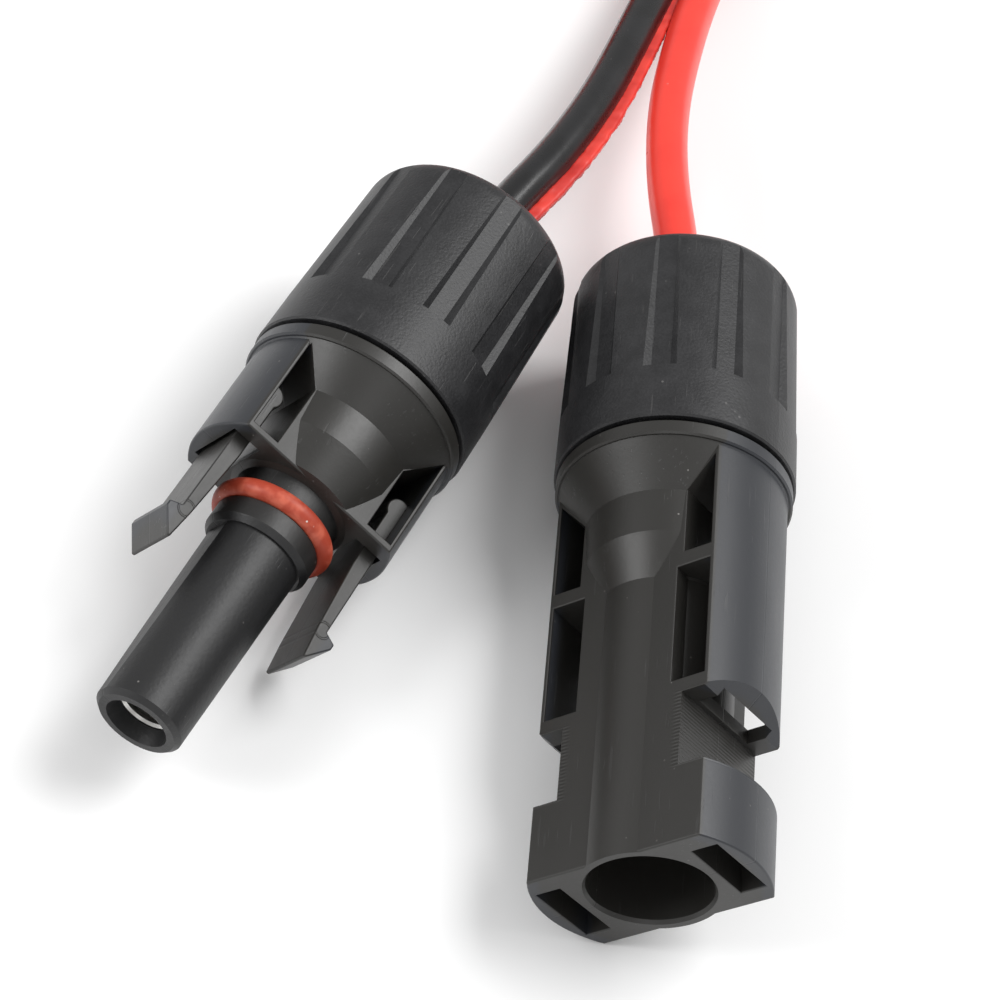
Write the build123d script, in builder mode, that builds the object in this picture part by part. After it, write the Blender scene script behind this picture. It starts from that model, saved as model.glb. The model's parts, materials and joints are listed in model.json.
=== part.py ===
from build123d import *
import math
import os

os.makedirs("parts", exist_ok=True)

# All sizes are in millimetres. Each connector's stations run back from its own tip.

# Cap nuts and the screwed spigots under them
nut_radius = 9.5
nut_taper = 0.35
nut_back_radius = nut_radius - nut_taper
nut_length = 20.0
nut_gap = 0.3
nut_band = 5.0
nut_rim_round = 2.0
nut_hole_radius = 3.5
nut_wall = 1.92
flute_count = 11
flute_width = 3.3
flute_floor_width = 1.5
flute_depth = 0.6
screw_clearance = 0.08
spigot_radius = nut_radius - nut_wall - screw_clearance
spigot_length = 11.0
spigot_wall = 1.75
spigot_bore_radius = spigot_radius - spigot_wall

# Seal and clamping collet inside the spigot
finger_count = 6
finger_gap = 1.4
finger_thickness = 0.8
finger_clearance = 0.12
finger_bore_clearance = 0.18
seal_radius = spigot_bore_radius - finger_bore_clearance - finger_thickness - finger_clearance
seal_start = 1.5
seal_length = 8.0
seal_rib_pitch = 2.0
seal_rib_depth = 0.3
finger_reach = 8.0
collet_ring_length = 2.4
collet_ring_gap = 0.4
collet_clearance = 0.1

# Leads
lead_diameter = 3.6
lead_start = 2.8
lead_clearance = 0.04
conductor_radius = 1.1

# Contacts
contact_pin_radius = 2.0
pin_front = 9.0
pin_shank_radius = 2.3
pin_shank_start = 22.0
contact_slide_clearance = 0.05
contact_clearance = 0.05
socket_bore_radius = contact_pin_radius + contact_slide_clearance
socket_wall = 0.8
socket_radius = socket_bore_radius + socket_wall
socket_front = 1.5
socket_depth = 16.0
barrel_radius = 2.6
barrel_overhang = 1.0
contact_flange_radius = 3.2
contact_flange_length = 2.0
contact_seat_depth = 9.8
crimp_depth = 6.0
clip_thickness = 0.8
clip_split = 1.2

# Spring band inside the socket contact
band_thickness = 0.35
band_radius = socket_bore_radius + band_thickness
band_start = 7.0
band_length = 5.0
band_rim = 0.8
bar_count = 12
bar_gap = 0.35

# Slim tube of the plug and the bore that takes it
tube_wall = 0.7
tube_draft = 0.25
tube_tip_radius = socket_radius + contact_clearance + tube_wall
tube_root_radius = tube_tip_radius + tube_draft
tube_flat_depth = 0.3
tube_length = 17.0
tube_mouth_radius = socket_bore_radius + 0.2
tube_mouth_flare = 0.3
tube_bore_clearance = 0.35
tube_bore_radius = tube_root_radius + tube_bore_clearance
flange_step = 0.6
flange_radius = tube_root_radius + flange_step
flange_clearance = 0.25
mating_bore_radius = flange_radius + flange_clearance
mating_bore_depth = 6.0

# Seal ring on the plug
o_ring_section = 1.6
o_ring_station = 20.0
groove_depth = 0.85
groove_radius = flange_radius - groove_depth
groove_half = o_ring_section / 2 + 0.1

# Latch arms
core_wall = 0.75
core_radius = mating_bore_radius + core_wall
arm_half_width = 3.0
arm_thickness = 1.4
arm_clearance = 0.25
slot_rim = 0.19
slot_clearance = 0.36
arm_outer = core_radius + slot_rim + slot_clearance + arm_thickness
arm_tip = 11.9
barb_station = 14.0
barb_height = 1.0
arm_round = 0.15
arm_pivot_station = 27.0
arm_pivot_across = arm_outer - arm_thickness / 2
knuckle_radius = 1.0
knuckle_clearance = 0.06

# Housings
body_radius = 8.9
flat_half = 5.0
collar_step = 0.2
collar_radius = nut_radius - collar_step
collar_length = 1.3
receptacle_joint = 35.8
plug_joint = 33.2
plug_front = 22.4
block_length = 6.4
notch_length = 6.2
notch_half = 5.25
notch_slant = 2.2
window_outer = 7.1
window_inner = 4.6
low_window_inner = 4.2
low_window_length = 10.2
window_bar = 1.3
window_wall = 0.6
window_rim = 0.12
bulb_radius = 6.8
edge_round = 0.15
mouth_round = 0.1

# Where the two connectors lie on the table: the corners of their nuts just miss
receptacle_tip = (15.98, -30.12)
receptacle_tilt = 1.2
receptacle_roll = -43.5
plug_yaw = 22.5
plug_tilt = 3.5
plug_roll = 30.0
nut_corner = nut_back_radius * math.cos(math.radians(plug_yaw))
plug_reach = (plug_joint + nut_length) * math.sin(math.radians(plug_yaw))
plug_tip = (receptacle_tip[0] - nut_radius - nut_corner - plug_reach, -21.37)

# Coil of the spare lead, resting on its tie, and the stripped ends
coil_middle_radius = 19.8
lead_gap = 0.15
lead_spacing = lead_diameter + lead_gap
coil_turns = 1.25
coil_layers = 2
coil_slack = 0.3
tie_thickness = 0.9
tie_width = 2.6
tie_clearance = 0.05
tie_head_width = 4.0
tie_head_height = 2.6
tie_head_margin = 0.7
bare_end_length = 7.0


def connector_plane(tip, joint, yaw, tilt, roll):
    """Plane at a connector's tip: z runs back along it, x runs across its flats."""
    rise = math.radians(tilt)
    height = nut_radius * math.cos(rise) - (joint + nut_gap) * math.sin(rise)
    place = Location((tip[0], tip[1], height)) * Location((0, 0, 0), (0, 0, -yaw))
    place = place * Location((0, 0, 0), (tilt, 0, 0)) * Location((0, 0, 0), (0, roll, 0))
    return Plane(place * Location((0, 0, 0), (-90, 0, 0)))


def section_plane(front):
    """Half-section plane of a connector: local x is the radius, local y the station."""
    return Plane(front.origin, x_dir=front.x_dir, z_dir=-front.y_dir)


def axis_of(front):
    return Axis(front.origin, front.z_dir)


def round_window_edges(builder, front, first, last):
    """Small rounds on the windows' square edges, on both flats between two stations."""
    lengthwise = builder.edges().filter_by(axis_of(front))
    crosswise = builder.edges().filter_by(Axis(front.origin, front.x_dir))
    picked = ShapeList()
    for edge in lengthwise + crosswise:
        spot = front.to_local_coords(edge.center())
        on_flat = abs(abs(spot.Y) - flat_half) < 0.01 and abs(spot.X) < window_outer + 0.01
        if on_flat and first - 0.01 < spot.Z < last:
            picked.append(edge)
    fillet(picked, radius=mouth_round)


def round_body_edges(builder, front):
    """Small rounds on the long edges of the flats and around the front face."""
    fillet(builder.edges().filter_by(axis_of(front)), radius=edge_round)
    fillet(builder.faces().sort_by(axis_of(front))[0].outer_wire().edges(), radius=edge_round)


def save(builder, label):
    builder.part.label = label
    export_step(builder.part, f"parts/{label}.step")


receptacle = connector_plane(receptacle_tip, receptacle_joint, 0, receptacle_tilt, receptacle_roll)
plug = connector_plane(plug_tip, plug_joint, plug_yaw, plug_tilt, plug_roll)
receptacle_section = section_plane(receptacle)
plug_section = section_plane(plug)
housing_back = receptacle_joint + spigot_length


def wing_outline(front, station):
    """Round body with two flats."""
    with BuildSketch(front.offset(station)) as outline:
        Circle(body_radius)
        Rectangle(3 * body_radius, 2 * flat_half, mode=Mode.INTERSECT)
    return outline


def window_outline(section, first, shoulder, last, inner):
    """Pair of windows with a slanted back end, seen square to the flats."""
    with BuildSketch(section) as outline:
        with BuildLine():
            Polyline(
                (inner, first),
                (window_outer, first),
                (window_outer, last),
                (inner, shoulder),
                close=True,
            )
        make_face()
        mirror(about=Plane.YZ)
    return outline


# Receptacle housing
notch_end = block_length + notch_length
low_window_start = notch_end + 2 * window_wall
low_window_end = low_window_start + low_window_length
upper_window_start = low_window_end + window_bar
receptacle_window_shoulder = receptacle_joint - 4.8
receptacle_window_end = receptacle_joint - 2.2
receptacle_seat = receptacle_joint - contact_seat_depth
tube_bore_end = pin_shank_start + 0.5

with BuildPart() as receptacle_housing:
    extrude(wing_outline(receptacle, 0).sketch, amount=receptacle_joint - collar_length)
    round_body_edges(receptacle_housing, receptacle)
    extrude(
        window_outline(
            receptacle_section, low_window_start, low_window_end, low_window_end, low_window_inner
        ).sketch,
        amount=body_radius,
        both=True,
        mode=Mode.SUBTRACT,
    )
    round_window_edges(receptacle_housing, receptacle, low_window_start, low_window_end + 0.01)
    with BuildSketch(receptacle_section):
        with BuildLine():
            Polyline(
                (0, 0),
                (core_radius, 0),
                (core_radius, low_window_end - 0.2),
                (bulb_radius - 0.2, upper_window_start + 2.0),
                (bulb_radius, receptacle_window_shoulder),
                (collar_radius - 0.3, receptacle_joint - collar_length),
                (collar_radius - edge_round, receptacle_joint - collar_length),
                (collar_radius, receptacle_joint - collar_length + edge_round),
                (collar_radius, receptacle_joint - edge_round),
                (collar_radius - edge_round, receptacle_joint),
                (spigot_radius, receptacle_joint),
                (spigot_radius, housing_back),
                (0, housing_back),
                close=True,
            )
        make_face()
    revolve(axis=axis_of(receptacle))
    extrude(
        window_outline(
            receptacle_section,
            upper_window_start,
            receptacle_window_shoulder,
            receptacle_window_end,
            window_inner + window_rim,
        ).sketch,
        amount=body_radius,
        both=True,
        mode=Mode.SUBTRACT,
    )
    round_window_edges(
        receptacle_housing, receptacle, upper_window_start, receptacle_window_end
    )
    # Side notches that the barbs catch in, with a slanted back edge
    with BuildSketch(receptacle_section):
        with BuildLine():
            Polyline(
                (notch_half, block_length),
                (collar_radius + 1, block_length),
                (collar_radius + 1, notch_end + notch_slant),
                (body_radius, notch_end + notch_slant * 0.7),
                (arm_outer - 0.2, notch_end),
                (notch_half, notch_end),
                close=True,
            )
        make_face()
        mirror(about=Plane.YZ)
    extrude(amount=body_radius, both=True, mode=Mode.SUBTRACT)
    # Ways for the latch arms
    slot_middle = arm_outer - arm_thickness / 2
    with BuildSketch(receptacle):
        with Locations((slot_middle, 0), (-slot_middle, 0)):
            Rectangle(arm_thickness + 2 * slot_clearance, 2 * (arm_half_width + arm_clearance))
    extrude(amount=low_window_start + window_bar, mode=Mode.SUBTRACT)
    receptacle_face = receptacle_housing.faces().sort_by(axis_of(receptacle))[0]
    for slot_mouth in receptacle_face.inner_wires():
        fillet(slot_mouth.edges(), radius=mouth_round)
    # Bore for the plug, contact hole and seal chamber
    with BuildSketch(receptacle_section):
        with BuildLine():
            Polyline(
                (0, 0),
                (mating_bore_radius + 0.2, 0),
                (mating_bore_radius, 0.3),
                (mating_bore_radius, mating_bore_depth),
                (tube_bore_radius, mating_bore_depth + 1.0),
                (tube_bore_radius, tube_bore_end),
                (pin_shank_radius + contact_clearance, tube_bore_end),
                (pin_shank_radius + contact_clearance, receptacle_seat),
                (contact_flange_radius + contact_clearance, receptacle_seat),
                (contact_flange_radius + contact_clearance, receptacle_joint),
                (spigot_bore_radius, receptacle_joint),
                (spigot_bore_radius, housing_back),
                (0, housing_back),
                close=True,
            )
        make_face()
    revolve(axis=axis_of(receptacle), mode=Mode.SUBTRACT)
save(receptacle_housing, "receptacle_housing")

# Plug housing with its slim tube
plug_window_start = plug_front + window_wall
plug_window_shoulder = plug_joint - 4.4
plug_window_end = plug_joint - 1.6
pocket_inner = arm_outer - arm_thickness - 0.9
pocket_outer = arm_outer + arm_clearance
plug_seat = plug_joint - contact_seat_depth
plug_back = plug_joint + spigot_length

with BuildPart() as plug_housing:
    extrude(
        wing_outline(plug, plug_front).sketch,
        amount=plug_joint - collar_length - plug_front,
    )
    round_body_edges(plug_housing, plug)
    with BuildSketch(plug_section):
        with BuildLine():
            Polyline(
                (0, 0),
                (tube_tip_radius - 0.4, 0),
                (tube_tip_radius, 0.4),
                (tube_root_radius, tube_length),
                (flange_radius - 0.4, tube_length),
                (flange_radius, tube_length + 0.5),
                (flange_radius, o_ring_station - groove_half),
                (groove_radius, o_ring_station - groove_half),
                (groove_radius, o_ring_station + groove_half),
                (flange_radius, o_ring_station + groove_half),
                (flange_radius, plug_front - 0.2),
                (core_radius + 0.2, plug_front + 0.2),
                (bulb_radius - 0.2, plug_front + 3.4),
                (bulb_radius, plug_window_shoulder),
                (collar_radius - 0.3, plug_joint - collar_length),
                (collar_radius - edge_round, plug_joint - collar_length),
                (collar_radius, plug_joint - collar_length + edge_round),
                (collar_radius, plug_joint - edge_round),
                (collar_radius - edge_round, plug_joint),
                (spigot_radius, plug_joint),
                (spigot_radius, plug_back),
                (0, plug_back),
                close=True,
            )
        make_face()
    revolve(axis=axis_of(plug))
    extrude(
        window_outline(
            plug_section,
            plug_window_start,
            plug_window_shoulder,
            plug_window_end,
            window_inner + window_rim,
        ).sketch,
        amount=body_radius,
        both=True,
        mode=Mode.SUBTRACT,
    )
    round_window_edges(plug_housing, plug, plug_window_start, plug_window_end)
    # Pockets for the latch arms, with a round seat for each knuckle
    with BuildSketch(plug.offset(plug_front - 0.3)):
        pocket_middle = (pocket_inner + pocket_outer) / 2
        with Locations((pocket_middle, 0), (-pocket_middle, 0)):
            Rectangle(pocket_outer - pocket_inner, 2 * (arm_half_width + arm_clearance))
    extrude(amount=arm_pivot_station - plug_front + 0.3, mode=Mode.SUBTRACT)
    with BuildSketch(plug_section):
        with Locations((arm_pivot_across, arm_pivot_station), (-arm_pivot_across, arm_pivot_station)):
            Circle(knuckle_radius + knuckle_clearance)
    extrude(amount=arm_half_width + arm_clearance, both=True, mode=Mode.SUBTRACT)
    # Drafted flats along both sides of the tube
    with BuildSketch(plug):
        flat_middle = tube_root_radius - tube_flat_depth + 2
        with Locations((flat_middle, 0), (-flat_middle, 0)):
            Rectangle(4, 4 * tube_root_radius)
    extrude(amount=tube_length, mode=Mode.SUBTRACT)
    # Contact room and seal chamber
    with BuildSketch(plug_section):
        with BuildLine():
            Polyline(
                (0, 0),
                (tube_mouth_radius + tube_mouth_flare, 0),
                (tube_mouth_radius, socket_front - 0.1),
                (socket_radius + contact_clearance, socket_front - 0.1),
                (socket_radius + contact_clearance, plug_seat),
                (contact_flange_radius + contact_clearance, plug_seat),
                (contact_flange_radius + contact_clearance, plug_joint),
                (spigot_bore_radius, plug_joint),
                (spigot_bore_radius, plug_back),
                (0, plug_back),
                close=True,
            )
        make_face()
    revolve(axis=axis_of(plug), mode=Mode.SUBTRACT)
save(plug_housing, "plug_housing")

# Rubber ring in the groove of the tube
with BuildPart() as plug_o_ring:
    with BuildSketch(plug_section):
        with Locations((groove_radius + o_ring_section / 2, o_ring_station)):
            Circle(o_ring_section / 2)
    revolve(axis=axis_of(plug))
save(plug_o_ring, "plug_o_ring")

# Latch arms: a flat arm with an outward barb at the tip and a round root
for side, label in ((-1, "plug_left_latch_arm"), (1, "plug_right_latch_arm")):
    with BuildPart() as latch_arm:
        with BuildSketch(plug_section):
            with BuildLine():
                Polyline(
                    (side * (arm_outer - 0.1), arm_pivot_station),
                    (side * arm_outer, barb_station + 0.7),
                    (side * (arm_outer + barb_height), barb_station + 0.3),
                    (side * (arm_outer + barb_height), barb_station - 0.2),
                    (side * (arm_outer - 0.35), arm_tip),
                    (side * (arm_outer - 0.6), arm_tip),
                    (side * (arm_outer - arm_thickness * 0.65), barb_station + 0.5),
                    (side * (arm_outer - arm_thickness), plug_front - 1.5),
                    (side * (arm_outer - arm_thickness), arm_pivot_station),
                    close=True,
                )
            make_face()
            with Locations((side * arm_pivot_across, arm_pivot_station)):
                Circle(knuckle_radius)
        extrude(amount=arm_half_width, both=True)
        fillet(latch_arm.edges(), radius=arm_round)
    save(latch_arm, label)

# Socket contact: a turned sleeve with a flange and a crimp barrel
socket_end = plug_joint + barrel_overhang
with BuildPart() as socket_contact:
    with BuildSketch(plug_section):
        with BuildLine():
            Polyline(
                (socket_bore_radius + 0.2, socket_front),
                (socket_radius - 0.2, socket_front),
                (socket_radius, socket_front + 0.3),
                (socket_radius, plug_seat + contact_clearance),
                (contact_flange_radius, plug_seat + contact_clearance),
                (contact_flange_radius, plug_seat + contact_flange_length),
                (barrel_radius, plug_seat + contact_flange_length),
                (barrel_radius, plug_joint - 0.2),
                (conductor_radius + 0.9, socket_end),
                (conductor_radius, socket_end),
                (conductor_radius, socket_end - crimp_depth),
                (0, socket_end - crimp_depth),
                (0, socket_front + socket_depth),
                (socket_bore_radius, socket_front + socket_depth),
                (socket_bore_radius, band_start + band_length),
                (band_radius, band_start + band_length),
                (band_radius, band_start),
                (socket_bore_radius, band_start),
                (socket_bore_radius, socket_front + 0.2),
                close=True,
            )
        make_face()
    revolve(axis=axis_of(plug))
save(socket_contact, "socket_contact")

# Spring band of thin bars that grips the mating pin
with BuildPart() as contact_lamella:
    with BuildSketch(plug.offset(band_start)):
        Circle(band_radius)
        Circle(socket_bore_radius, mode=Mode.SUBTRACT)
    extrude(amount=band_length)
    with BuildSketch(plug.offset(band_start + band_rim)):
        with PolarLocations(socket_bore_radius, bar_count):
            Rectangle(3 * band_thickness, bar_gap)
    extrude(amount=band_length - 2 * band_rim, mode=Mode.SUBTRACT)
save(contact_lamella, "contact_lamella")

# Pin contact
pin_end = receptacle_joint + barrel_overhang
with BuildPart() as pin_contact:
    with BuildSketch(receptacle_section):
        with BuildLine():
            Polyline(
                (0, pin_front),
                (contact_pin_radius - 0.9, pin_front),
                (contact_pin_radius, pin_front + 1.2),
                (contact_pin_radius, pin_shank_start),
                (pin_shank_radius, pin_shank_start),
                (pin_shank_radius, receptacle_seat + contact_clearance),
                (contact_flange_radius, receptacle_seat + contact_clearance),
                (contact_flange_radius, receptacle_seat + contact_flange_length),
                (barrel_radius, receptacle_seat + contact_flange_length),
                (barrel_radius, receptacle_joint - 0.2),
                (conductor_radius + 0.9, pin_end),
                (conductor_radius, pin_end),
                (conductor_radius, pin_end - crimp_depth),
                (0, pin_end - crimp_depth),
                close=True,
            )
        make_face()
    revolve(axis=axis_of(receptacle))
save(pin_contact, "pin_contact")


def cable_entry(name, front, section, joint):
    """Clip, seal, clamping collet and cap nut behind one housing."""
    axis = axis_of(front)
    clip_start = joint - contact_seat_depth + contact_flange_length + 2 * contact_clearance
    # Split spring ring that holds the contact's flange
    with BuildPart() as clip:
        with BuildSketch(front.offset(clip_start)):
            Circle(contact_flange_radius)
            Circle(barrel_radius + contact_clearance, mode=Mode.SUBTRACT)
            with Locations((contact_flange_radius, 0)):
                Rectangle(2 * contact_flange_radius, clip_split, mode=Mode.SUBTRACT)
        extrude(amount=clip_thickness)
    save(clip, f"{name}_retaining_clip")
    # Ribbed rubber seal around the lead
    seal_hole = lead_diameter / 2 + lead_clearance
    with BuildPart() as seal:
        with BuildSketch(front.offset(joint + seal_start)):
            Circle(seal_radius)
            Circle(seal_hole, mode=Mode.SUBTRACT)
        extrude(amount=seal_length)
        with BuildSketch(section):
            for rib in (1, 2, 3):
                with Locations((seal_radius, joint + seal_start + seal_rib_pitch * rib)):
                    Rectangle(2 * seal_rib_depth, 0.8)
        revolve(axis=axis, mode=Mode.SUBTRACT)
    save(seal, f"{name}_cable_seal")
    # Collet: a ring with fingers that reach forward around the seal
    ring_start = joint + spigot_length + collet_ring_gap
    ring_radius = spigot_radius - spigot_wall * 0.6
    finger_inner = seal_radius + finger_clearance
    finger_outer = finger_inner + finger_thickness
    with BuildPart() as collet:
        with BuildSketch(front.offset(ring_start)):
            Circle(ring_radius)
            Circle(seal_hole + 0.6, mode=Mode.SUBTRACT)
        extrude(amount=collet_ring_length)
        with BuildSketch(front.offset(joint + spigot_length - finger_reach)):
            Circle(finger_outer)
            Circle(finger_inner, mode=Mode.SUBTRACT)
            with PolarLocations(finger_inner, finger_count, start_angle=180 / finger_count):
                Rectangle(3 * finger_thickness, finger_gap, mode=Mode.SUBTRACT)
        extrude(until=Until.NEXT)
    save(collet, f"{name}_clamping_collet")
    # Cap nut with tapered flutes behind a plain band
    back = joint + nut_length
    floor = ring_start + collet_ring_length + collet_clearance
    with BuildPart() as nut:
        with BuildSketch(section):
            with BuildLine():
                Polyline(
                    (spigot_radius + screw_clearance, joint + nut_gap),
                    (nut_radius - edge_round, joint + nut_gap),
                    (nut_radius, joint + nut_gap + edge_round),
                    (nut_radius - 0.05, joint + nut_band),
                    (nut_back_radius, back - nut_rim_round),
                )
                RadiusArc(
                    (nut_back_radius, back - nut_rim_round),
                    (nut_back_radius - nut_rim_round, back),
                    -nut_rim_round,
                )
                Polyline(
                    (nut_back_radius - nut_rim_round, back),
                    (nut_hole_radius, back),
                    (nut_hole_radius, floor),
                    (ring_radius + collet_clearance, floor),
                    (spigot_radius + screw_clearance, floor - 1.6),
                    (spigot_radius + screw_clearance, joint + nut_gap),
                )
            make_face()
        revolve(axis=axis)
        with BuildSketch(front.offset(joint + nut_band + nut_gap)):
            with PolarLocations(nut_radius, flute_count):
                Polygon(
                    (0.5, -flute_width / 2 - 0.5),
                    (-flute_depth, -flute_floor_width / 2),
                    (-flute_depth, flute_floor_width / 2),
                    (0.5, flute_width / 2 + 0.5),
                    align=None,
                )
        extrude(amount=nut_length, mode=Mode.SUBTRACT)
    save(nut, f"{name}_cap_nut")
    return nut


cable_entry("receptacle", receptacle, receptacle_section, receptacle_joint)
cable_entry("plug", plug, plug_section, plug_joint)


def corner_radii(points):
    """As large an arc at each corner as its two runs allow."""
    radii = []
    for before, corner, after in zip(points, points[1:], points[2:]):
        first = Vector(corner) - Vector(before)
        second = Vector(after) - Vector(corner)
        turn = math.radians(first.get_angle(second))
        radii.append(0.45 * min(first.length, second.length) / math.tan(turn / 2))
    return radii


def tube_along(points, diameter):
    """Round tube along straight runs joined by tangent arcs."""
    radii = corner_radii(points)
    with BuildPart() as tube:
        with BuildLine():
            route = FilletPolyline(*points, radius=radii)
        with BuildSketch(Plane(route @ 0, z_dir=route % 0)):
            Circle(diameter / 2)
        sweep(path=route)
    section = math.pi * diameter**2 / 4
    print("radii", [round(r, 1) for r in radii], "length", round(route.length, 1))
    print("volume over section x length", round(tube.part.volume / (section * route.length), 4))
    return tube.part


def on_axis(front, station):
    return tuple(front.origin + front.z_dir * station)


# Leads from the seals to the coil; the held stretches lie on the connectors' axes
red_points = [
    on_axis(receptacle, receptacle_joint + lead_start),
    on_axis(receptacle, receptacle_joint + nut_length),
    (13.1, 43.3, 9.1),
    (15.2, 61.3, 6.7),
    (19.0, 76.5, 4.2),
    (22.0, 87.5, 2.9),
    (22.4, 95.9, 2.7),
]
black_points = [
    on_axis(plug, plug_joint + lead_start),
    on_axis(plug, plug_joint + nut_length),
    (6.3, 42.9, 9.6),
    (11.4, 61.7, 6.8),
    (15.4, 77.4, 4.3),
    (18.3, 88.1, 2.9),
    (18.7, 96.1, 2.7),
]
red_tail_points = [(1.9, 118.7, 6.6), (-9.4, 119.0, 5.4), (-20.4, 118.2, 2.3), (-31.2, 120.0, 1.9)]
black_tail_points = [(1.8, 115.0, 6.6), (-9.8, 115.1, 5.3), (-21.4, 112.9, 2.3), (-32.0, 108.6, 1.9)]

# Coil of the spare twin lead and the tie around it
coil_half_width = (lead_spacing + lead_diameter) / 2 + coil_slack
coil_height = coil_layers * lead_spacing + coil_slack
coil_inner = coil_middle_radius - coil_half_width
coil_outer = coil_middle_radius + coil_half_width
last_run = Vector(red_points[-1]) - Vector(red_points[-2])
inward = Vector(-last_run.Y, last_run.X, 0).normalized()
coil_centre = Vector(red_points[-1]) + inward * (coil_middle_radius + lead_spacing / 2)
coil_plane = Plane((coil_centre.X, coil_centre.Y, tie_thickness))
with BuildPart() as lead_coil:
    with BuildSketch(coil_plane):
        Circle(coil_outer)
        Circle(coil_inner, mode=Mode.SUBTRACT)
    extrude(amount=coil_height)
save(lead_coil, "lead_coil")

# The tie goes round both layers, halfway along the stretch where they lie on each other
tie_outward = (inward * -1).rotate(Axis.Z, 360 * (coil_turns - 1) / 2)
tie_along = tie_outward.cross(Vector(0, 0, -1))
tie_middle = coil_centre + tie_outward * coil_middle_radius - tie_along * (tie_width / 2)
tie_plane = Plane((tie_middle.X, tie_middle.Y, tie_thickness), x_dir=tie_outward, z_dir=tie_along)
with BuildPart() as cable_tie:
    coil_width = coil_outer - coil_inner
    with BuildSketch(tie_plane):
        with Locations((0, -coil_height / 2)):
            Rectangle(
                coil_width + 2 * tie_clearance + 2 * tie_thickness, coil_height + 2 * tie_thickness
            )
            Rectangle(coil_width + 2 * tie_clearance, coil_height, mode=Mode.SUBTRACT)
    extrude(amount=tie_width)
    head_middle = coil_width / 2 + tie_clearance + (tie_thickness + tie_head_height) / 2
    with BuildSketch(tie_plane.offset(-tie_head_margin)):
        with Locations((head_middle, -coil_height / 2)):
            Rectangle(tie_head_height, tie_head_width)
    extrude(amount=tie_width + 2 * tie_head_margin)
save(cable_tie, "cable_tie")


for points, label in (
    (black_points, "black_lead"),
    (red_points, "red_lead"),
    (black_tail_points, "black_tail"),
    (red_tail_points, "red_tail"),
):
    with BuildPart() as lead:
        add(tube_along(points, lead_diameter))
        add(lead_coil.part, mode=Mode.SUBTRACT)
    save(lead, label)

# Stripped and tinned ends of the leads
for points, label in ((black_tail_points, "black_bare_end"), (red_tail_points, "red_bare_end")):
    run = Vector(points[-1]) - Vector(points[-2])
    with BuildPart() as bare_end:
        with BuildSketch(Plane(points[-1], z_dir=run)):
            Circle(conductor_radius)
        extrude(amount=bare_end_length)
        chamfer(bare_end.edges().filter_by(GeomType.CIRCLE).sort_by(Axis(points[-1], run))[-1], 0.3)
    save(bare_end, label)

# Stranded conductors inside the crimp barrels
for front, joint, label in (
    (plug, plug_joint, "black_conductor"),
    (receptacle, receptacle_joint, "red_conductor"),
):
    crimp_floor = joint + barrel_overhang - crimp_depth
    with BuildPart() as conductor:
        with BuildSketch(front.offset(crimp_floor + contact_clearance)):
            Circle(conductor_radius)
        extrude(amount=crimp_depth - contact_clearance + lead_start - barrel_overhang)
    save(conductor, label)
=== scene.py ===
import bpy
import json
import math
from mathutils import Matrix, Vector


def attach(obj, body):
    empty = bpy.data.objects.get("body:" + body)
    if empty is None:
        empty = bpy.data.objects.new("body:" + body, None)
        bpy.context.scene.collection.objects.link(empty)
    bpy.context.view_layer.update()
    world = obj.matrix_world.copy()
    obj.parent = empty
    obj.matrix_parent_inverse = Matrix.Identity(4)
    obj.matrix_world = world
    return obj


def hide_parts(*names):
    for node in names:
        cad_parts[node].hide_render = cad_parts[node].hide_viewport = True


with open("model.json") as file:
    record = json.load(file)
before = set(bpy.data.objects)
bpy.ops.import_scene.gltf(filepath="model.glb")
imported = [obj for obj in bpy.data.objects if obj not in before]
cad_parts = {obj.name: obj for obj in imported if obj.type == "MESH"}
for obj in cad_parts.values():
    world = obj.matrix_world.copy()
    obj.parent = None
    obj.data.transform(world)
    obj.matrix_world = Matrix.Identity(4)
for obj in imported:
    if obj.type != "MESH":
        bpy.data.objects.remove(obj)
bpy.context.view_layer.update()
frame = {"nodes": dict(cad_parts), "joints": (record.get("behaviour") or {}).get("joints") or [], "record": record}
nodes = frame["nodes"]
joints = {joint["name"]: joint for joint in frame["joints"]}
mounts = {mount["name"]: mount for mount in frame["record"]["mounts"]}
mm = 0.001
print("frame loaded:", len(nodes), "nodes")

# the viewer's eye, and how it is turned
viewpoint = {
    "place": (-0.01313, -0.14898, 0.20522),
    "azimuth": 5.86,
    "elevation": 52.14,
    "roll": 13.06,
    "lens": 115.2,
}


def placeCamera(facts):
    azimuth, elevation, roll = (math.radians(facts[k]) for k in ("azimuth", "elevation", "roll"))
    forward = Vector((
        math.sin(azimuth) * math.cos(elevation),
        math.cos(azimuth) * math.cos(elevation),
        -math.sin(elevation),
    ))
    level = forward.cross(Vector((0, 0, 1))).normalized()
    upright = level.cross(forward)
    right = level * math.cos(roll) + upright * math.sin(roll)
    up = upright * math.cos(roll) - level * math.sin(roll)
    turn = Matrix((right, up, -forward)).transposed()
    camera = bpy.data.objects.new("camera", bpy.data.cameras.new("camera"))
    camera.data.lens = facts["lens"]
    camera.data.sensor_width = 36
    camera.data.clip_start = 0.005
    camera.matrix_world = Matrix.Translation(facts["place"]) @ turn.to_4x4()
    bpy.context.scene.collection.objects.link(camera)
    bpy.context.scene.camera = camera


placeCamera(viewpoint)


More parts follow.
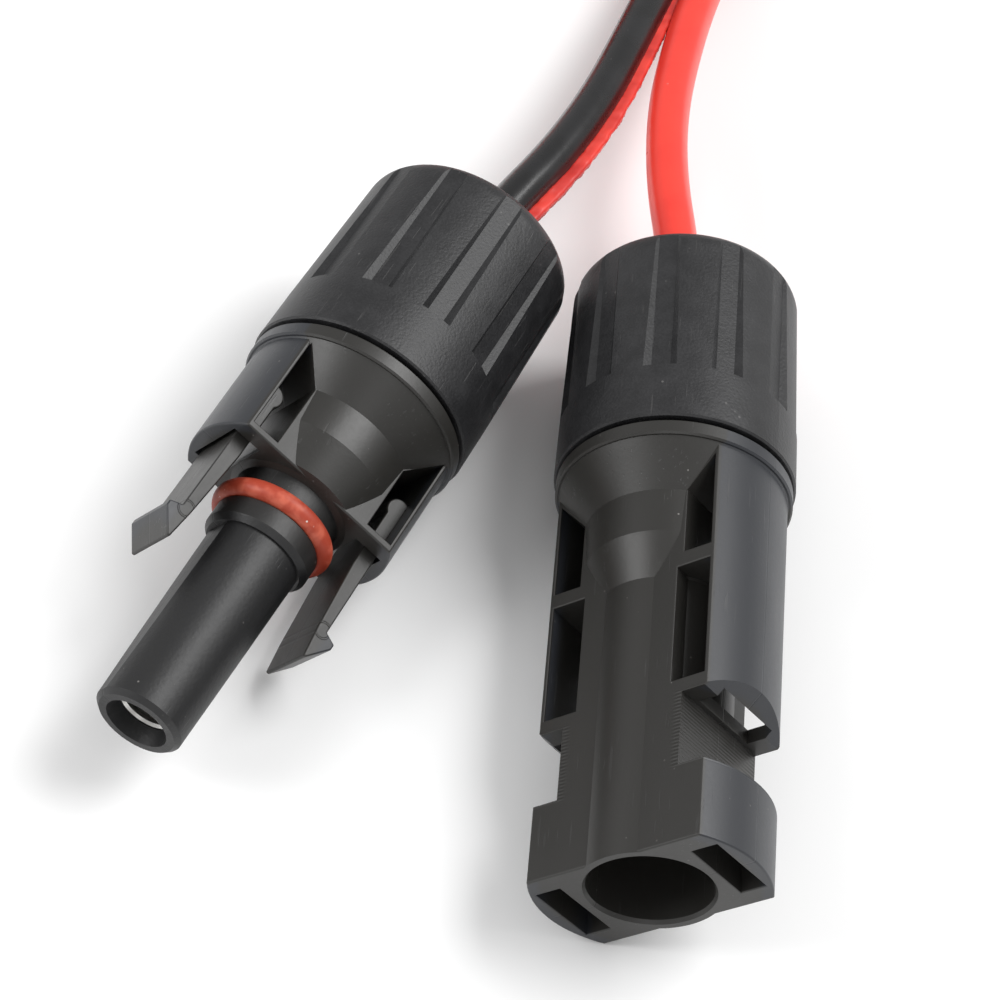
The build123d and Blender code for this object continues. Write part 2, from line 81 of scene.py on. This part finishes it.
# one socket of a node tree; sums and products of signals become Math nodes
class Signal:
    def __init__(self, tree, socket=None):
        self.tree = tree
        self.socket = socket

    def make(self, kind, settings=None, inputs=None, output=0):
        node = self.tree.nodes.new(kind)
        for name, value in (settings or {}).items():
            setattr(node, name, value)
        for name, value in (inputs or {}).items():
            if isinstance(value, Signal):
                self.tree.links.new(value.socket, node.inputs[name])
            else:
                node.inputs[name].default_value = value
        return Signal(self.tree, node.outputs[output])

    def maths(self, operation, *values):
        return self.make("ShaderNodeMath", {"operation": operation}, dict(enumerate(values)))

    def __add__(self, other):
        return self.maths("ADD", self, other)

    def __sub__(self, other):
        return self.maths("SUBTRACT", self, other)

    def __rsub__(self, other):
        return self.maths("SUBTRACT", other, self)

    def __mul__(self, other):
        return self.maths("MULTIPLY", self, other)

    def __pow__(self, other):
        return self.maths("POWER", self, other)

    def __abs__(self):
        return self.maths("ABSOLUTE", self)

    def sine(self):
        return self.maths("SINE", self)

    __radd__ = __add__
    __rmul__ = __mul__

    # 0 below low, 1 above high, soft between; low may be the larger one
    def between(self, low, high):
        return self.make(
            "ShaderNodeMapRange", {"interpolation_type": "SMOOTHSTEP"}, {0: self, 1: low, 2: high}
        )

    def blend(self, first, second):
        return self.make("ShaderNodeMix", {"data_type": "RGBA"}, {0: self, 6: first, 7: second}, 2)


# Leads: the routes' points, in metres
leads = {
    "diameter": 3.6 * mm,
    "redRoute": [
        (0.01598, 0.00847, 0.00955),
        (0.01598, 0.02567, 0.00991),
        (0.0131, 0.0433, 0.0091),
        (0.0152, 0.0613, 0.0067),
        (0.0190, 0.0765, 0.0042),
        (0.0220, 0.0875, 0.0029),
        (0.0224, 0.0959, 0.0027),
    ],
    "blackRoute": [
        (-0.00858, 0.01183, 0.00963),
        (-0.00201, 0.02769, 0.01068),
        (0.0063, 0.0429, 0.0096),
        (0.0114, 0.0617, 0.0068),
        (0.0154, 0.0774, 0.0043),
        (0.0183, 0.0881, 0.0029),
        (0.0187, 0.0961, 0.0027),
    ],
    "redTail": [
        (0.0019, 0.1187, 0.0066),
        (-0.0094, 0.1190, 0.0054),
        (-0.0204, 0.1182, 0.0023),
        (-0.0312, 0.1200, 0.0019),
    ],
    "blackTail": [
        (0.0018, 0.1150, 0.0066),
        (-0.0098, 0.1151, 0.0053),
        (-0.0214, 0.1129, 0.0023),
        (-0.0320, 0.1086, 0.0019),
    ],
    "coilCentre": (0.00075, 0.09693),
    "entryAngle": -2.7,
    "turns": 1.25,
    "pointsPerTurn": 18,
    "floorHeight": 2.7 * mm,
    "layerHeight": 3.75 * mm,
    "climbStart": 0.7,
    "redRadius": 21.675 * mm,
    "blackRadius": 17.925 * mm,
}


def coilPoints(radius, facts):
    count = round(facts["turns"] * facts["pointsPerTurn"])
    points = []
    for step in range(1, count):
        turned = facts["turns"] * step / count
        angle = math.radians(facts["entryAngle"] + 360 * turned)
        climb = min(1, max(0, (turned - facts["climbStart"]) / (1 - facts["climbStart"])))
        climb = climb * climb * (3 - 2 * climb)
        points.append((
            facts["coilCentre"][0] + radius * math.cos(angle),
            facts["coilCentre"][1] + radius * math.sin(angle),
            facts["floorHeight"] + facts["layerHeight"] * climb,
        ))
    return points


def makeCurve(name, points, radius=None):
    line = bpy.data.curves.new(name, "CURVE")
    line.dimensions = "3D"
    line.resolution_u = 12
    spline = line.splines.new("NURBS")
    spline.points.add(len(points) - 1)
    for slot, point in zip(spline.points, points):
        slot.co = (*point, 1)
        slot.radius = radius or 1
    spline.order_u = 3
    spline.use_endpoint_u = True
    if radius:
        line.bevel_depth = 1  # the points' own radius makes the tube
        line.bevel_resolution = 7
        line.use_fill_caps = True
    piece = bpy.data.objects.new(name, line)
    bpy.context.scene.collection.objects.link(piece)
    return piece


def makeLead(colour, facts):
    route = facts[colour + "Route"] + coilPoints(facts[colour + "Radius"], facts) + facts[colour + "Tail"]
    lead = makeCurve(colour + "Lead", route, facts["diameter"] / 2)
    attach(lead, "base")
    return lead


redLead = makeLead("red", leads)
blackLead = makeLead("black", leads)
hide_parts("red_lead", "red_tail")
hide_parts("black_lead", "black_tail", "lead_coil")
print("leads laid")


# Materials
def startMaterial(name, steady):
    material = bpy.data.materials.new(name)
    material.use_nodes = True
    shader = material.node_tree.nodes["Principled BSDF"]
    for socket, value in steady.items():
        shader.inputs[socket].default_value = value
    return material, Signal(material.node_tree)


def finishMaterial(material, colour, roughness, height, depth):
    tree = material.node_tree
    shader = tree.nodes["Principled BSDF"]
    bump = height.make("ShaderNodeBump", None, {"Strength": 1.0, "Distance": depth, "Height": height})
    tree.links.new(colour.socket, shader.inputs["Base Color"])
    tree.links.new(roughness.socket, shader.inputs["Roughness"])
    tree.links.new(bump.socket, shader.inputs["Normal"])
    return material


# A connector's own axes: across its flats, through them, and back along it, in millimetres
def ownAxes(origin, along, across):
    along = Vector(along).normalized()
    across = Vector(across)
    across = (across - along * across.dot(along)).normalized()
    turn = Matrix((across, along.cross(across), along))
    return {"turn": turn.to_euler(), "shift": -(turn @ (Vector(origin) / mm))}


def ownPoint(start, axes):
    place = start.make("ShaderNodeTexCoord", output="Object")
    return start.make(
        "ShaderNodeMapping",
        None,
        {"Vector": place, "Location": axes["shift"], "Rotation": axes["turn"], "Scale": (1000, 1000, 1000)},
    )


def parts(point):
    return [point.make("ShaderNodeSeparateXYZ", None, {0: point}, n) for n in range(3)]


def noise(point, scale, detail=2.0, roughness=0.5):
    inputs = {"Vector": point, "Scale": scale, "Detail": detail, "Roughness": roughness}
    return point.make("ShaderNodeTexNoise", None, inputs)


def stretched(point, scale, turn=0.0):
    return point.make("ShaderNodeMapping", None, {"Vector": point, "Scale": scale, "Rotation": (0, turn, 0)})


plugAlong = Vector(joints["plug_nut_travel"]["axis"])
plugThrough = Vector(joints["right_arm_flex"]["axis"])
receptacleAlong = Vector(joints["receptacle_nut_travel"]["axis"])
receptacleRoll = math.radians(-43.5)
receptacleAcross = Matrix.Rotation(receptacleRoll, 3, receptacleAlong) @ Vector((1, 0, 0))
# the whole part's own axes
frameAxes = {"turn": (0, 0, 0), "shift": (0, 0, 0)}
# how far behind each front the middles of the two bores lie
socketMiddle = 9.6 * mm
boreMiddle = 3.15 * mm
plugFront = Vector(mounts["contact_socket"]["pos_m"]) - plugAlong * socketMiddle
receptacleFront = Vector(mounts["mating_bore"]["pos_m"]) - receptacleAlong * boreMiddle
plugAxes = ownAxes(plugFront, plugAlong, plugThrough.cross(plugAlong))
receptacleAxes = ownAxes(receptacleFront, receptacleAlong, receptacleAcross)

housingFinish = {
    "warm": (0.0205, 0.0195, 0.0175, 1),
    # painted sheen: a lighter, cooler tone given to the round sides for the light they catch
    "paintedSheen": (0.0225, 0.0245, 0.0295, 1),
    "worn": (0.06, 0.06, 0.06, 1),
    "tube": (0.0085, 0.0085, 0.009, 1),
    "dust": (0.22, 0.21, 0.20, 1),
    "roughness": 0.36,
    "grain": 3.2,
    "toolPitch": 0.3,
    "notch": (6.2, 12.8),
    "flatHalf": 5.0,
    "padRadius": 0.65,
}


def scratches(point, facts):
    # short fine marks in three directions, few and faint
    marks = None
    for turn, scale in ((0.35, 0.5), (-0.7, 0.42), (1.25, 0.6)):
        fibres = noise(stretched(point, (scale * 9, scale * 9, scale * 0.5), turn), 1.0, 0.0)
        mark = fibres.between(0.775, 0.81)
        marks = mark if marks is None else marks.maths("MAXIMUM", marks, mark)
    return marks * noise(point, 0.22, 1.0).between(0.5, 0.66)


def specks(point, density, low, high):
    cells = point.make("ShaderNodeTexVoronoi", {"feature": "F1"}, {"Vector": point, "Scale": density})
    return cells.between(high, low) * noise(point, 0.5, 1.0).between(0.55, 0.68)


def mouldedHousing(name, axes, facts, tooled=False, tubed=False, pads=()):
    material, start = startMaterial(name, {"Specular IOR Level": 0.55, "IOR": 1.5})
    point = ownPoint(start, axes)
    across, through, along = parts(point)
    grain = noise(point, facts["grain"], 3.0, 0.6)
    flow = noise(stretched(point, (1, 1, 0.25)), 0.32, 2.0)
    marks = scratches(point, facts)
    dust = specks(point, 0.9, 0.05, 0.09)
    # painted sheen: the round sides get a lighter, cooler tone than the warm flats, standing in for the light they
    # catch
    offFlat = abs(through).between(facts["flatHalf"] - 0.05, facts["flatHalf"] - 0.35)
    sides = (across * across + through * through).between(60, 70) * offFlat
    colour = sides.blend(facts["warm"], facts["paintedSheen"])
    tube = (across * across + through * through).between(21, 19)
    if tubed:
        colour = tube.blend(colour, facts["tube"])
    colour = (marks * 0.3).blend(colour, facts["worn"])
    colour = (dust * 0.7).blend(colour, facts["dust"])
    roughness = facts["roughness"] - 0.06 + flow * 0.16 + grain * 0.08 - marks * 0.06 + dust * 0.2
    height = grain * 0.35 + flow * 0.8 - marks * 0.5 + dust * 0.5
    # parting line along the middle of the sides
    parting = abs(through).between(0.07, 0.02)
    height = height - parting * 1.2
    if tubed:
        roughness = roughness + tube * 0.07
        height = height + grain * tube * 0.9
    if tooled:
        first, last = facts["notch"]
        inNotch = along.between(first, first + 0.05) * along.between(last, last - 0.05)
        lines = (along * (math.tau / facts["toolPitch"])).sine()
        height = height + lines * inNotch * abs(across).between(4.4, 5.0) * 0.5
    for centreAcross, centreAlong in pads:
        offAcross = across - centreAcross
        offAlong = along - centreAlong
        reach = (offAcross * offAcross + offAlong * offAlong) ** 0.5
        ring = reach.between(facts["padRadius"] - 0.1, facts["padRadius"] - 0.03)
        ring = ring * reach.between(facts["padRadius"] + 0.12, facts["padRadius"] + 0.03)
        height = height - ring * 2.2
    return finishMaterial(material, colour, roughness, height, 0.018 * mm)


nutFinish = {
    "dark": (0.0105, 0.0105, 0.0115, 1),
    "pale": (0.022, 0.022, 0.0235, 1),
    "roughness": 0.43,
    "spark": 5.2,
}


def sparkedNut(name, axes, facts):
    material, start = startMaterial(name, {"Specular IOR Level": 0.5, "IOR": 1.5})
    point = ownPoint(start, axes)
    spark = noise(point, facts["spark"], 2.0, 0.65)
    pitting = {"Vector": point, "Scale": facts["spark"] * 0.8}
    pits = point.make("ShaderNodeTexVoronoi", {"feature": "SMOOTH_F1"}, pitting)
    cloud = noise(point, 0.5, 2.0)
    marks = scratches(point, facts)
    dust = specks(point, 0.8, 0.06, 0.1)
    colour = (spark * 0.5 + cloud * 0.5).between(0.35, 0.7).blend(facts["dark"], facts["pale"])
    colour = (marks * 0.15 + dust * 0.5).blend(colour, (0.16, 0.155, 0.15, 1))
    roughness = facts["roughness"] + spark * 0.12 + cloud * 0.08 - 0.06 - marks * 0.05
    height = spark * 0.8 + pits * 0.5 + cloud * 0.4 - marks * 0.6
    return finishMaterial(material, colour, roughness, height, 0.03 * mm)


rubberFinish = {
    "ring": {
        "base": (0.40, 0.055, 0.028, 1),
        "pale": (0.56, 0.12, 0.07, 1),
        "roughness": 0.44,
    },
    "seal": {
        "base": (0.042, 0.042, 0.046, 1),
        "pale": (0.075, 0.075, 0.08, 1),
        "roughness": 0.6,
    },
}


def siliconeRubber(name, axes, facts):
    material, start = startMaterial(name, {"Specular IOR Level": 0.45, "IOR": 1.42})
    point = ownPoint(start, axes)
    skin = noise(point, 3.0, 3.0)
    bloom = noise(point, 0.9, 2.0)
    dust = specks(point, 1.3, 0.07, 0.13)
    colour = bloom.between(0.4, 0.7).blend(facts["base"], facts["pale"])
    colour = dust.blend(colour, (0.72, 0.62, 0.57, 1))
    roughness = facts["roughness"] - 0.05 + skin * 0.14 + dust * 0.2
    return finishMaterial(material, colour, roughness, skin * 0.6 + bloom * 0.5 + dust * 0.6, 0.02 * mm)


metalFinish = {
    "tin": {
        "base": (0.70, 0.69, 0.67, 1),
        "dull": (0.50, 0.49, 0.47, 1),
        "roughness": 0.24,
        "turned": 0.12,
    },
    "copper": {
        "base": (0.78, 0.54, 0.33, 1),
        "dull": (0.55, 0.36, 0.22, 1),
        "roughness": 0.26,
        "turned": 0.2,
    },
    "steel": {
        "base": (0.62, 0.62, 0.63, 1),
        "dull": (0.40, 0.40, 0.41, 1),
        "roughness": 0.3,
        "turned": 0.25,
    },
    "strand": {
        "base": (0.74, 0.72, 0.68, 1),
        "dull": (0.58, 0.52, 0.45, 1),
        "roughness": 0.3,
        "turned": 0.3,
    },
}


def turnedMetal(name, axes, facts):
    material, start = startMaterial(name, {"Metallic": 1.0})
    point = ownPoint(start, axes)
    lines = noise(stretched(point, (0.1, 0.1, 1 / facts["turned"])), 1.0, 2.0)
    cloud = noise(point, 0.8, 3.0)
    colour = (cloud * 0.7 + lines * 0.3).between(0.38, 0.66).blend(facts["base"], facts["dull"])
    roughness = facts["roughness"] - 0.05 + lines * 0.12 + cloud * 0.1
    return finishMaterial(material, colour, roughness, lines * 0.7 + cloud * 0.3, 0.008 * mm)


sheathFinish = {
    "red": {
        "base": (0.87, 0.050, 0.032, 1),
        "deep": (0.82, 0.042, 0.028, 1),
        "roughness": 0.27,
        "grain": 1.6,
    },
    "black": {
        "base": (0.006, 0.006, 0.0065, 1),
        "deep": (0.010, 0.010, 0.011, 1),
        "roughness": 0.24,
        "grain": 1.6,
    },
    "web": {
        "base": (0.80, 0.045, 0.028, 1),
        "deep": (0.58, 0.022, 0.016, 1),
        "roughness": 0.42,
        "grain": 3.4,
    },
}


def glossySheath(name, facts):
    material, start = startMaterial(name, {"Specular IOR Level": 0.55, "IOR": 1.53})
    point = ownPoint(start, frameAxes)
    wave = noise(point, 0.28, 2.0)
    grain = noise(point, facts["grain"], 2.0)
    dust = specks(point, 0.7, 0.05, 0.09)
    colour = wave.between(0.35, 0.7).blend(facts["base"], facts["deep"])
    colour = (dust * 0.35).blend(colour, (0.5, 0.45, 0.42, 1))
    roughness = facts["roughness"] - 0.04 + wave * 0.1 + grain * 0.05 + dust * 0.15
    return finishMaterial(material, colour, roughness, wave * 0.7 + grain * 0.12 + dust * 0.3, 0.03 * mm)


tieFinish = {
    "base": (0.022, 0.022, 0.023, 1),
    "pale": (0.05, 0.05, 0.05, 1),
    "ribPitch": 0.9,
    "roughness": 0.4,
    "along": (-0.669, 0.743, 0),
}


def ribbedTie(name, facts):
    material, start = startMaterial(name, {"Specular IOR Level": 0.5, "IOR": 1.5})
    point = ownPoint(start, ownAxes((0, 0, 0), facts["along"], (0, 0, 1)))
    up, outward = parts(point)[:2]
    wave = math.tau / facts["ribPitch"]
    ribs = ((up * wave).sine() + (outward * wave).sine()).between(-0.2, 0.5)
    grain = noise(point, 3.0, 2.0)
    colour = (grain * 0.6 + ribs * 0.2).blend(facts["base"], facts["pale"])
    roughness = facts["roughness"] + grain * 0.15
    return finishMaterial(material, colour, roughness, ribs + grain * 0.15, 0.05 * mm)


armPads = {"left": ((-7.0, 14.6),), "right": ((7.0, 14.6),)}
finishes = {
    "plug_housing": mouldedHousing("plugHousingPlastic", plugAxes, housingFinish, tubed=True),
    "receptacle_housing": mouldedHousing(
        "receptacleHousingPlastic", receptacleAxes, housingFinish, tooled=True
    ),
    "plug_left_latch_arm": mouldedHousing("leftArmPlastic", plugAxes, housingFinish, pads=armPads["left"]),
    "plug_right_latch_arm": mouldedHousing("rightArmPlastic", plugAxes, housingFinish, pads=armPads["right"]),
    "plug_cap_nut": sparkedNut("plugNutPlastic", plugAxes, nutFinish),
    "receptacle_cap_nut": sparkedNut("receptacleNutPlastic", receptacleAxes, nutFinish),
    "plug_clamping_collet": sparkedNut("plugColletPlastic", plugAxes, nutFinish),
    "receptacle_clamping_collet": sparkedNut("receptacleColletPlastic", receptacleAxes, nutFinish),
    "plug_o_ring": siliconeRubber("ringRubber", plugAxes, rubberFinish["ring"]),
    "plug_cable_seal": siliconeRubber("plugSealRubber", plugAxes, rubberFinish["seal"]),
    "receptacle_cable_seal": siliconeRubber("receptacleSealRubber", receptacleAxes, rubberFinish["seal"]),
    "socket_contact": turnedMetal("socketTin", plugAxes, metalFinish["tin"]),
    "pin_contact": turnedMetal("pinTin", receptacleAxes, metalFinish["tin"]),
    "contact_lamella": turnedMetal("bandCopper", plugAxes, metalFinish["copper"]),
    "plug_retaining_clip": turnedMetal("plugClipSteel", plugAxes, metalFinish["steel"]),
    "receptacle_retaining_clip": turnedMetal("receptacleClipSteel", receptacleAxes, metalFinish["steel"]),
    "black_conductor": turnedMetal("blackConductorTin", plugAxes, metalFinish["strand"]),
    "red_conductor": turnedMetal("redConductorTin", receptacleAxes, metalFinish["strand"]),
    "cable_tie": ribbedTie("tieNylon", tieFinish),
}
for node, material in finishes.items():
    for slot in nodes[node].material_slots:
        slot.material = material
redSheath = glossySheath("redSheath", sheathFinish["red"])
blackSheath = glossySheath("blackSheath", sheathFinish["black"])
webSheath = glossySheath("webSheath", sheathFinish["web"])
redLead.data.materials.append(redSheath)
blackLead.data.materials.append(blackSheath)
print("finishes given:", len(finishes) + 3)


# Geometry Nodes: a tree with named number inputs, and a mesh made from it
def startTree(name, sizes):
    tree = bpy.data.node_groups.new(name, "GeometryNodeTree")
    tree.interface.new_socket("Geometry", in_out="INPUT", socket_type="NodeSocketGeometry")
    tree.interface.new_socket("Geometry", in_out="OUTPUT", socket_type="NodeSocketGeometry")
    for label, value in sizes.items():
        kind = "NodeSocketInt" if isinstance(value, int) else "NodeSocketFloat"
        if isinstance(value, tuple):
            kind = "NodeSocketVector"
        tree.interface.new_socket(label, in_out="INPUT", socket_type=kind)
    entry = tree.nodes.new("NodeGroupInput")
    return tree, {socket.name: Signal(tree, socket) for socket in entry.outputs if socket.name}


def endTree(tree, shape, material):
    shape = shape.make("GeometryNodeRealizeInstances", None, {0: shape})
    shape = shape.make("GeometryNodeSetMaterial", None, {0: shape, "Material": material})
    leave = tree.nodes.new("NodeGroupOutput")
    tree.links.new(shape.socket, leave.inputs[0])


def grow(piece, tree, sizes):
    modifier = piece.modifiers.new("grow", "NODES")
    modifier.node_group = tree
    for item in tree.interface.items_tree:
        if item.in_out == "INPUT" and item.name in sizes:
            modifier[item.identifier] = sizes[item.name]
    bpy.context.view_layer.update()
    graph = bpy.context.evaluated_depsgraph_get()
    mesh = bpy.data.meshes.new_from_object(piece.evaluated_get(graph), depsgraph=graph)
    made = bpy.data.objects.new(piece.name + "Mesh", mesh)
    bpy.context.scene.collection.objects.link(made)
    name = piece.name
    bpy.data.objects.remove(piece)
    made.name = name
    return made


# an empty piece for a tree that makes its own geometry
def makeSeed(name):
    seed = bpy.data.objects.new(name, bpy.data.meshes.new(name))
    bpy.context.scene.collection.objects.link(seed)
    return seed


def spiral(start, steps, turns, radius, height):
    sizes = {
        "Resolution": steps,
        "Rotations": turns,
        "Start Radius": radius,
        "End Radius": radius,
        "Height": height,
    }
    return start.make("GeometryNodeCurveSpiral", None, sizes)


def roundOutline(start, sides, radius):
    return start.make("GeometryNodeCurvePrimitiveCircle", None, {"Resolution": sides, "Radius": radius})


def sweep(path, outline):
    inputs = {"Curve": path, "Profile Curve": outline, "Fill Caps": True}
    return path.make("GeometryNodeCurveToMesh", None, inputs)


def stand(shape, sizes):
    inputs = {"Geometry": shape, "Translation": sizes["Place"], "Rotation": sizes["Turn"]}
    return shape.make("GeometryNodeTransform", None, inputs)


# The web that joined the two leads: torn as far as the split, whole from there to the tails
web = {
    "torn": [(-0.0006, 0.0253, 0.0105), (-0.00003, 0.02674, 0.0106), (0.00835, 0.0421, 0.0095)],
    "whole": [
        (0.0133, 0.0615, 0.00675),
        (0.0172, 0.07695, 0.00425),
        (0.02015, 0.0878, 0.0029),
        (0.02055, 0.0960, 0.0027),
    ],
    "end": [(0.00185, 0.11685, 0.0066)],
    "radius": 19.8 * mm,
    "sizes": {
        "Width": 1.15 * mm,
        "Thickness": 0.65 * mm,
        "Step": 0.25 * mm,
        "Ragged": 0.2 * mm,
        "Grain": 1300.0,
    },
}


def webTree(facts, material):
    tree, sizes = startTree("webTree", facts["sizes"])
    path = sizes["Geometry"]
    spacing = {"Curve": path, "Length": sizes["Step"]}
    path = path.make("GeometryNodeResampleCurve", {"mode": "LENGTH"}, spacing)
    path = path.make("GeometryNodeSetCurveNormal", {"mode": "Z_UP"}, {"Curve": path})
    section = {"Width": sizes["Width"], "Height": sizes["Thickness"]}
    outline = path.make("GeometryNodeCurvePrimitiveQuadrilateral", None, section)
    outline = outline.make("GeometryNodeResampleCurve", {"mode": "COUNT"}, {"Curve": outline, "Count": 12})
    shape = sweep(path, outline)
    place = shape.make("GeometryNodeInputPosition")
    rough = shape.make(
        "ShaderNodeTexNoise", None, {"Vector": place, "Scale": sizes["Grain"], "Detail": 2.0}, "Color"
    )
    rough = shape.make("ShaderNodeVectorMath", {"operation": "SUBTRACT"}, {0: rough, 1: (0.5, 0.5, 0.5)})
    reach = {0: rough, "Scale": sizes["Ragged"] * 2.0}
    rough = shape.make("ShaderNodeVectorMath", {"operation": "SCALE"}, reach)
    shape = shape.make("GeometryNodeSetPosition", None, {"Geometry": shape, "Offset": rough})
    endTree(tree, shape, material)
    return tree


webPath = web["torn"] + web["whole"] + coilPoints(web["radius"], leads) + web["end"]
webStrip = grow(makeCurve("webStrip", webPath), webTree(web, webSheath), web["sizes"])
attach(webStrip, "base")
print("web torn:", len(webStrip.data.polygons), "faces")

# Stripped ends: two twisted rings of strands round a core one
strands = {
    "sizes": {
        "Length": 7.0 * mm,
        "Strand": 0.215 * mm,
        "Outer": 0.87 * mm,
        "Outer Count": 12,
        "Inner": 0.44 * mm,
        "Inner Count": 6,
        "Turns": 0.35,
    },
}


def strandTree(facts, material):
    tree, sizes = startTree("strandTree", {**facts["sizes"], "Place": (0, 0, 0), "Turn": (0, 0, 0)})
    start = sizes["Geometry"]
    outline = roundOutline(start, 10, sizes["Strand"])
    index = start.make("GeometryNodeInputIndex")
    rings = []
    for radius, count in (("Outer", "Outer Count"), ("Inner", "Inner Count")):
        helix = spiral(start, 40, sizes["Turns"], sizes[radius], sizes["Length"])
        strand = sweep(helix, outline)
        spots = start.make("GeometryNodePoints", None, {"Count": sizes[count]})
        angle = index.maths("DIVIDE", index * math.tau, sizes[count])
        turn = start.make("ShaderNodeCombineXYZ", None, {"Z": angle})
        inputs = {"Points": spots, "Instance": strand, "Rotation": turn}
        rings.append(start.make("GeometryNodeInstanceOnPoints", None, inputs))
    line = start.make(
        "GeometryNodeCurvePrimitiveLine",
        {"mode": "DIRECTION"},
        {"Direction": (0, 0, 1), "Length": sizes["Length"]},
    )
    core = sweep(line, outline)
    join = tree.nodes.new("GeometryNodeJoinGeometry")
    for shape in rings + [core]:
        tree.links.new(shape.socket, join.inputs[0])
    shape = stand(Signal(tree, join.outputs[0]), sizes)
    endTree(tree, shape, material)
    return tree


strandTin = turnedMetal("strandTin", frameAxes, metalFinish["strand"])
strandGroup = strandTree(strands, strandTin)
for colour in ("red", "black"):
    before, tip = (Vector(point) for point in leads[colour + "Tail"][-2:])
    seed = makeSeed(colour + "Strands")
    facing = (tip - before).to_track_quat("Z", "Y").to_euler()
    bundle = grow(seed, strandGroup, {**strands["sizes"], "Place": tuple(tip), "Turn": tuple(facing)})
    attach(bundle, "base")
    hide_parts(colour + "_bare_end")
print("ends stripped")

# Screw threads on both spigots, just inside the nuts' clearance
thread = {
    "spigotFoot": {"plug": 33.2, "receptacle": 35.8},
    "start": 1.2,
    "sizes": {
        "Radius": 7.36 * mm,
        "Pitch": 1.5 * mm,
        "Turns": 6.0,
        "Ridge": 0.19 * mm,
    },
}


def threadTree(facts, material):
    tree, sizes = startTree("threadTree", {**facts["sizes"], "Place": (0, 0, 0), "Turn": (0, 0, 0)})
    start = sizes["Geometry"]
    helix = spiral(start, 60, sizes["Turns"], sizes["Radius"], sizes["Turns"] * sizes["Pitch"])
    shape = stand(sweep(helix, roundOutline(start, 8, sizes["Ridge"])), sizes)
    endTree(tree, shape, material)
    return tree


for name, front, along in (
    ("plug", plugFront, plugAlong),
    ("receptacle", receptacleFront, receptacleAlong),
):
    seed = makeSeed(name + "Thread")
    place = front + along * (thread["spigotFoot"][name] + thread["start"]) * mm
    facing = along.to_track_quat("Z", "Y").to_euler()
    tree = threadTree(thread, finishes[name + "_housing"])
    ridge = grow(seed, tree, {**thread["sizes"], "Place": tuple(place), "Turn": tuple(facing)})
    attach(ridge, "base")
print("threads cut")

# Floor and light
stage = {
    "floorSize": 1.5,
    "floorColour": (0.92, 0.92, 0.92, 1),
    "roomLight": 0.5,
    "lamps": {
        "keyLamp": {
            "place": (0.28, 0.10, 0.42),
            "size": 0.30,
            "watts": 2.0,
        },
        "sideLamp": {
            "place": (-0.40, -0.05, 0.30),
            "size": 0.24,
            "watts": 1.1,
        },
        "frontLamp": {
            "place": (-0.02, -0.42, 0.30),
            "size": 0.22,
            "watts": 0.25,
        },
    },
    "lookAt": (0.0, 0.0, 0.01),
}


def layFloor(facts):
    edge = facts["floorSize"]
    mesh = bpy.data.meshes.new("floor")
    corners = [(-edge, -edge, 0), (edge, -edge, 0), (edge, edge, 0), (-edge, edge, 0)]
    mesh.from_pydata(corners, [], [(0, 1, 2, 3)])
    floor = bpy.data.objects.new("floor", mesh)
    bpy.context.scene.collection.objects.link(floor)
    paint = {"Specular IOR Level": 0.1, "Base Color": facts["floorColour"], "Roughness": 0.9}
    material = startMaterial("floorPaint", paint)[0]
    mesh.materials.append(material)


def hangLamps(facts):
    for name, lamp in facts["lamps"].items():
        light = bpy.data.lights.new(name, "AREA")
        light.shape = "SQUARE"
        light.size = lamp["size"]
        light.energy = lamp["watts"]
        piece = bpy.data.objects.new(name, light)
        piece.location = lamp["place"]
        towards = Vector(facts["lookAt"]) - Vector(lamp["place"])
        piece.rotation_euler = towards.to_track_quat("-Z", "Y").to_euler()
        bpy.context.scene.collection.objects.link(piece)
    world = bpy.data.worlds.new("room")
    world.use_nodes = True
    glow = world.node_tree.nodes["Background"].inputs
    glow["Color"].default_value = (1, 1, 1, 1)
    glow["Strength"].default_value = facts["roomLight"]
    bpy.context.scene.world = world


layFloor(stage)
hangLamps(stage)
bpy.context.scene.view_settings.view_transform = "Standard"
print("stage lit")

bpy.context.view_layer.update()
